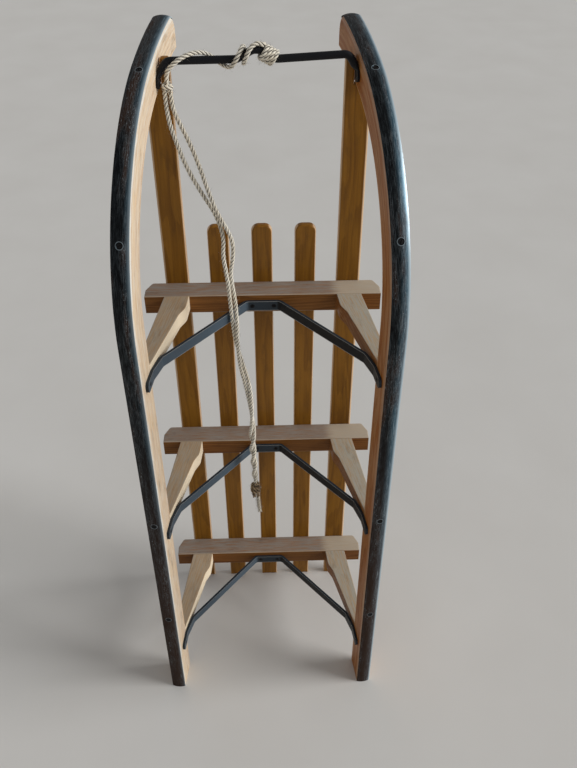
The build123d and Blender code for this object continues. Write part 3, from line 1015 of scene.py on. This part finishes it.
runner_wood = wood(
    "runner_wood",
    runner_place,
    pale=paint(218, 180, 126),
    deep=paint(148, 84, 20),
    ring_width=3.4,
    pith=(-70.0, 10.0),
    varnish=0.04,
    wear_and_highlight_tint=paint(230, 192, 150),
    bare_and_lit_tint=paint(226, 228, 222),
)

# %% [markdown]
# The three trestles are alike, so one crossbar's box and one leg's box, read from the
# frame, give the faces of all of them, and a point's height tells which trestle it is on.
# The sled has long stood upright, so the faces that then look up have lost their varnish
# and gone grey; they are also painted paler as painted light from above, more towards the
# right. The crossbars' other faces get painted shade. The legs' sides are painted pale
# where they face the light and get painted shade where they face away, and the slats'
# sides are painted pale all over as a highlight.

# %% Faces of the trestles and the slats
def span(name, axis):
    """Lowest and highest point of a CAD node along an axis, to a thousandth of a mm."""
    return [round(float(value), 3) for value in corners(name)[:, axis]]


bar_stations = [span(f"crossbar_{bar}", 2)[1] for bar in (1, 2, 3)]
bar_faces = span("crossbar_1", 1)
bar_bottom = span("crossbar_1", 2)[0] - bar_stations[0]
leg_bottom = span("leg_1_left", 2)[0] - bar_stations[0]
slat_faces = span("slat_middle", 1)
print("trestles at", bar_stations, "mm, slats between", slat_faces, "mm")

# %% Coordinates on the crossbars
lit_bar_span = (70.0, 130.0)  # X from which the bars' upper faces get painted light, towards the right end


def trestle_of(z):
    """Station of the crossbar that a height belongs to, and its number."""
    second = z > (bar_stations[0] + bar_stations[1]) / 2
    third = z > (bar_stations[1] + bar_stations[2]) / 2
    station = bar_stations[0] + second * (bar_stations[1] - bar_stations[0])
    return station + third * (bar_stations[2] - bar_stations[1]), second + third


def crossbar_place(look):
    """The place on a crossbar, whose grain runs along X."""
    x, y, z = look.place()
    station, number = trestle_of(z)
    level = z - station
    edge = near_edge(y, *bar_faces, width=3.0) * near_edge(level, bar_bottom, 0.0, width=3.0)
    upward = look.facing("Z").smooth(0.3, 0.9)
    # Painted light: the upper faces turn pale towards the right end, through the edge share.
    lit_right_end = upward * x.smooth(*lit_bar_span) * 1.1
    # Upper faces are bare and grey, partly from weathering and partly as painted light from
    # above; the ends are bare end grain.
    bare = upward.math("MAXIMUM", abs(look.facing("X")).smooth(0.5, 0.9) * 0.6)
    # Faces that don't look up get painted shade.
    painted_shade = 0.3 - upward * 0.3
    return Grain(y, level, x, number * 5.7 + 1.3, edge.math("MAXIMUM", lit_right_end), bare, painted_shade)


# %% Coordinates on the legs
leg_slope = math.radians(11.0)


def leg_place(look):
    """The place on a leg, whose grain runs down its slope."""
    x, y, z = look.place()
    station, number = trestle_of(z)
    across = abs(x) * math.cos(leg_slope) + y * math.sin(leg_slope)
    along = y * math.cos(leg_slope) - abs(x) * math.sin(leg_slope)
    level = z - station
    front = look.facing("Z")
    right = x > 0
    inner = (look.facing("X") * (1 - right * 2)).smooth(-0.2, 0.5)
    # Painted light: full on the left legs' inner sides, which face +X, none on the right legs'
    # inner sides, and 0.4 on the outer sides.
    painted_light = inner * (1 - right) + (1 - inner) * 0.4
    side_faces = 1 - abs(front).smooth(0.3, 0.8)
    edge = near_edge(level, leg_bottom, 0.0, width=2.5) * 0.5
    # The sides take the pale tint by their painted light, as a painted highlight.
    edge = edge.math("MAXIMUM", side_faces * painted_light * 1.3)
    # Faces that look up are bare from weathering, and barer on the right legs as painted
    # light.
    bare = front.smooth(0.3, 0.9) * (right * 0.4 + 0.7)
    # Sides with less painted light get painted shade.
    painted_shade = side_faces * (1 - painted_light) * 0.6
    return Grain(across, level, along, number * 4.1 + right * 2.7, edge, bare, painted_shade)


# %% Coordinates on the slats
slat_pitch = 64.5
slat_reach = 17.0         # from a slat's middle to its side


def slat_place(look):
    """The place on a slat, whose grain runs along Z."""
    x, y, z = look.place()
    number = (x / slat_pitch).math("ROUND")
    across = x - number * slat_pitch
    edge = near_edge(y, *slat_faces, width=2.5)
    edge = edge * near_edge(across, -slat_reach, slat_reach, width=4.0)
    # Painted highlight: the slats' side faces take the pale tint all over, as well as their
    # rubbed edges.
    side_faces = abs(look.facing("X")).smooth(0.3, 0.7)
    return Grain(across, y, z, number * 3.3 + 11.0, edge.math("MAXIMUM", side_faces))


# %% Wood of the crossbars, the legs and the slats
crossbar_wood = wood(
    "crossbar_wood",
    crossbar_place,
    pale=paint(160, 108, 54),
    deep=paint(92, 52, 14),
    ring_width=2.8,
    pith=(-40.0, -60.0),
    varnish=0.1,
    wear_and_highlight_tint=paint(200, 186, 164),
    bare_and_lit_tint=paint(144, 135, 126),
)
leg_wood = wood(
    "leg_wood",
    leg_place,
    pale=paint(196, 158, 108),
    deep=paint(134, 80, 34),
    ring_width=3.0,
    pith=(40.0, -70.0),
    varnish=0.1,
    wear_and_highlight_tint=paint(250, 238, 212),
    bare_and_lit_tint=paint(172, 166, 152),
)
slat_wood = wood(
    "slat_wood",
    slat_place,
    pale=paint(150, 102, 30),
    deep=paint(84, 46, 6),
    ring_width=3.0,
    pith=(15.0, -20.0),
    varnish=0.25,
    wear_and_highlight_tint=paint(238, 206, 170),
)


def dress(kinds):
    """Gives each CAD node the material for the kind of piece that its name starts with."""
    for name, node in nodes.items():
        material = kinds.get(name.split("_")[0])
        if material:
            for material_slot in node.material_slots:
                material_slot.material = material
            print(name, "in", material.name)


dress({"runner": runner_wood, "crossbar": crossbar_wood, "leg": leg_wood, "slat": slat_wood})

# %% [markdown]
# ## Steel and iron
#
# The shoes are rounded steel that once was black. Ice and stones have scored it
# lengthways and chipped it, the edges of its sunk holes are rubbed bright, and its lower
# part is brown with rust. Its rims on the flank that faces +X get a painted highlight,
# and that flank gets a painted bluish reflection and brighter scratches, less of it low
# down. The sunk holes round the screw heads are painted dark as shade. All of that runs
# along the runner, so the wear uses the same unrolled coordinates: scratches are noise
# drawn out along the length, and rust is a slow noise that thickens towards the tail. The
# braces are flat iron with black scale, with painted bluish light on the faces that are
# turned to +X, and bright along their edges, partly rubbed and partly a painted highlight.

# %% Shoe steel
screw_lengths = [
    station + bend_radius * math.radians(turn) for station, turn in shoe_screw_table
]
sink_radius = 4.4
rim_width = 5.0
rusted = (200.0, 700.0)   # full rust below the first length, none past the second


def shoe_steel():
    """Dark steel, scored lengthways, worn bright round its screws, with a painted highlight
    along its rims and a painted bluish reflection on the flank that faces +X.

    What is worn or painted bright is the largest of the scores, the chips, the rims and
    the rings round the screws, and rust only comes where the steel isn't worn or painted
    bright. The sunk holes get painted shade."""
    look = Look("shoe_steel")
    across, depth, along, right = along_runner(look)
    to_screw = abs(along - screw_lengths[0])
    for length in screw_lengths[1:]:
        to_screw = to_screw.math("MINIMUM", abs(along - length))
    off_screw = ((across - runner_width / 2) ** 2 + to_screw**2) ** 0.5
    # Painted shade: the sunk hole round each screw head is painted near black.
    hole_shade = 1 - off_screw.smooth(sink_radius - 0.6, sink_radius + 0.2)
    ringed = (1 - off_screw.smooth(sink_radius + 0.2, sink_radius + 1.2)) * (1 - hole_shade)
    patch = look.noise(across * 0.05 + right * 7, depth * 0.05, along * 0.008, 4.0, 0.65)
    scratch = look.noise(across * 1.6 + right * 3, depth * 1.6, along * 0.06, 5.0, 0.85)
    fleck = look.noise(across * 0.7, depth * 0.7 + right * 5, along * 0.22, 3.0, 0.8)
    # The flank that faces +X gets painted light.
    lit_flank = look.facing("X").smooth(0.0, 0.5)
    # Painted highlight along the rims of that flank.
    rim = near_edge(across, 0.0, runner_width, rim_width) * lit_flank * (0.6 + scratch * 0.8)
    low_down = 1 - along.smooth(*rusted)
    # Scratches are brighter on that flank, partly wear and partly painted highlight.
    scored = patch.smooth(0.35, 0.65) * 0.25 + 0.06 + lit_flank * 0.35
    scored = scratch.smooth(0.45, 0.65) * scored
    chipped = fleck.smooth(0.59, 0.65) * patch.smooth(0.46, 0.6) * 0.55
    wear_and_highlight = scored.math("MAXIMUM", chipped).math("MAXIMUM", rim)
    wear_and_highlight = wear_and_highlight.math("MAXIMUM", ringed * scratch * 0.9) * (1 - hole_shade)
    rust = patch.smooth(0.46, 0.66).math("MAXIMUM", low_down * 0.85) * (1 - wear_and_highlight)
    # Painted bluish reflection on that flank, fainter low down.
    lit_colour = look.mix(lit_flank * (0.7 - low_down * 0.5), paint(16, 17, 19), paint(86, 126, 146))
    colour = look.mix(wear_and_highlight, lit_colour, paint(196, 212, 220))
    colour = look.mix(rust * 0.7, colour, paint(66, 41, 24))
    colour = look.mix(hole_shade, colour, paint(14, 12, 12))
    return look.finish(
        Base_Color=colour,
        Metallic=0.65 - rust * 0.4 - wear_and_highlight * 0.35,
        Specular_IOR_Level=0.12,
        Roughness=0.36 + rust * 0.3 + patch * 0.1 - wear_and_highlight * 0.08,
        Normal=look.bump(scratch * 0.6 - chipped * 0.5, 0.12, 0.5),
    )


# %% Forged iron
def forged_iron(name, near, lit_colour):
    """Black scale over iron, uneven from the hammer, bright along an edge, partly rubbed and
    partly a painted highlight.

    The faces that are turned to +X take the lit colour, as painted light."""
    look = Look(name)
    x, y, z = look.place()
    patch = look.noise(x * 0.04, y * 0.04, z * 0.04, 4.0, 0.65)
    grain = look.noise(x * 0.7, y * 0.7, z * 0.7, 5.0, 0.75)
    edge = near(look, z)
    # Bright edges are partly rubbed metal and partly painted highlight.
    wear_and_highlight = (edge * 0.8 + grain * 0.6 + patch * 0.3).smooth(0.78, 1.15)
    rust = (patch * 0.6 + grain * 0.5).smooth(0.6, 0.8) * (1 - wear_and_highlight)
    # Painted light: the faces turned to +X take the lit colour, the others stay dark.
    lit_side = look.facing("X").smooth(-0.4, 0.6) * (0.6 + grain * 0.8)
    colour = look.mix(lit_side, paint(26, 26, 28), lit_colour)
    colour = look.mix(wear_and_highlight, colour, paint(158, 160, 160))
    colour = look.mix(rust * 0.55, colour, paint(74, 52, 38))
    return look.finish(
        Base_Color=colour,
        Specular_IOR_Level=0.25,
        Metallic=0.45 - rust * 0.3,
        Roughness=0.48 - wear_and_highlight * 0.1 + rust * 0.2,
        Normal=look.bump(grain, 0.3, 0.6),
    )


# %% Iron of the braces, the tow bar and the screws
brace_faces = [level - bar_stations[0] for level in span("brace_1", 2)]


def brace_edge(look, z):
    """1 along the two long edges of a brace's wide faces."""
    station, _ = trestle_of(z)
    wide_face = 1 - abs(look.facing("Z")).smooth(0.4, 0.8)
    return near_edge(z - station, *brace_faces, width=1.6) * wide_face


def no_edge(look, z):
    """0 all over, for a piece that is round."""
    return 0.0


# The last colour of each is its painted lit colour, for faces turned to +X.
brace_iron = forged_iron("brace_iron", brace_edge, paint(76, 90, 102))
round_iron = forged_iron("round_iron", no_edge, paint(36, 38, 42))
screw_iron = forged_iron("screw_iron", no_edge, paint(30, 28, 28))
dress({"shoe": shoe_steel(), "brace": brace_iron, "tow": round_iron})
for screws in (shoe_screws, slat_screws, iron_screws):
    screws.data.materials.append(screw_iron)

# %% [markdown]
# ## Twine
#
# The rope is coarse natural fibre, pale on the crowns of its strands, with painted shade
# in the grooves between them. The UV map that each strand carries says where a point is:
# its second number is 0 on the side that faces out of the rope and a half in the groove,
# so the painted shade follows a cosine of it, and the yarns are a fine slanting ripple on
# both. The end knot has been dragged along the ground, so it has a stained material of
# its own.

# %% Rope fibre
def rope_fibre(name, pale, stained, stain_share):
    """Fibre, pale on each strand's crown, with painted shade in the grooves, and stained in
    patches.
    """
    look = Look(name)
    lay = look.node("ShaderNodeUVMap", {"uv_map": "lay"})
    row = look.node("ShaderNodeSeparateXYZ", inputs={"Vector": lay})
    turn = row.also("Y")
    # Painted shade, dark brown, in the grooves between the strands.
    groove_shade = ((turn * 2 * math.pi).math("COSINE") * -0.5 + 0.5).smooth(0.08, 0.6)
    yarns = ((turn * 5 - row * 0.22) * 2 * math.pi).math("SINE") * 0.5 + 0.5
    x, y, z = look.place()
    fluff = look.noise(x * 1.6, y * 1.6, z * 0.9, 5.0, 0.75)
    stain = look.noise(x * 0.05, y * 0.05, z * 0.02, 3.0, 0.6).smooth(0.4, 0.7)
    colour = look.mix(fluff.smooth(0.35, 0.8), pale, stained)
    colour = look.mix(stain * stain_share, colour, stained)
    colour = look.mix(groove_shade * 0.95, colour, paint(44, 30, 16))
    return look.finish(
        Base_Color=colour,
        Roughness=0.88 - groove_shade * 0.05,
        Normal=look.bump(yarns * 0.5 + fluff * 0.6, 0.4, 0.9),
        Sheen_Weight=0.25,
        Sheen_Roughness=0.5,
    )


clean_rope = rope_fibre("clean_rope", paint(255, 252, 240), paint(206, 186, 150), 0.3)
dirty_rope = rope_fibre("dirty_rope", paint(196, 172, 134), paint(112, 80, 50), 0.8)
for piece in [*ropes.values(), hitch, end_knot]:
    piece.data.materials.clear()
    piece.data.materials.append(dirty_rope if piece == end_knot else clean_rope)

# %% [markdown]
# ## Floor and light
#
# The sled stands on a plain pale floor, in the photograph's light: soft, from the right.
# A lamp that stands near would leave a bright patch on the floor, so the key is a sun
# lamp, which is as strong everywhere, with a wide angle that keeps its shadows soft. The
# world fills the shade evenly from all sides. A sun of pi watts to the square metre, or
# a world of strength 1, shows a colour as it is written. The two shares here add up to
# 1.2, since few faces of the sled are turned straight at the lamp.

# %% Floor
floor_radius = 12.0
floor_mesh = bpy.data.meshes.new("floor")
floor_mesh.from_pydata(
    [(-floor_radius, -floor_radius, 0), (floor_radius, -floor_radius, 0),
     (floor_radius, floor_radius, 0), (-floor_radius, floor_radius, 0)],
    [], [(0, 1, 2, 3)],
)
floor = bpy.data.objects.new("floor", floor_mesh)
scene.collection.objects.link(floor)
floor_look = Look("floor_paint")
floor_x, floor_y, floor_z = floor_look.place()
cloud = floor_look.noise(floor_x * 0.004, floor_y * 0.004, floor_z, 3.0)
floor_paint = floor_look.finish(
    Base_Color=floor_look.mix(cloud, paint(214, 211, 206), paint(224, 222, 218)),
    Roughness=0.8 + cloud * 0.1,
    Specular_IOR_Level=0.15,
)
floor_mesh.materials.append(floor_paint)

# %% Light
key_side = Vector((4.5, -0.6, 1.95))      # the direction that the light comes from
key_spread = math.radians(32.0)
key_share = 0.88
fill_share = 0.32
key_data = bpy.data.lights.new("key", "SUN")
key_data.angle = key_spread
key_data.energy = key_share * math.pi
key = bpy.data.objects.new("key", key_data)
key.matrix_world = key_side.to_track_quat("Z", "Y").to_matrix().to_4x4()
scene.collection.objects.link(key)

world = bpy.data.worlds.new("studio")
world.use_nodes = True
scene.world = world
backdrop = world.node_tree.nodes["Background"]
backdrop.inputs["Color"].default_value = paint(244, 245, 246)
backdrop.inputs["Strength"].default_value = fill_share
scene.view_settings.view_transform = "Standard"
print("key", round(key_data.energy, 2), "W to the square metre, fill", fill_share)
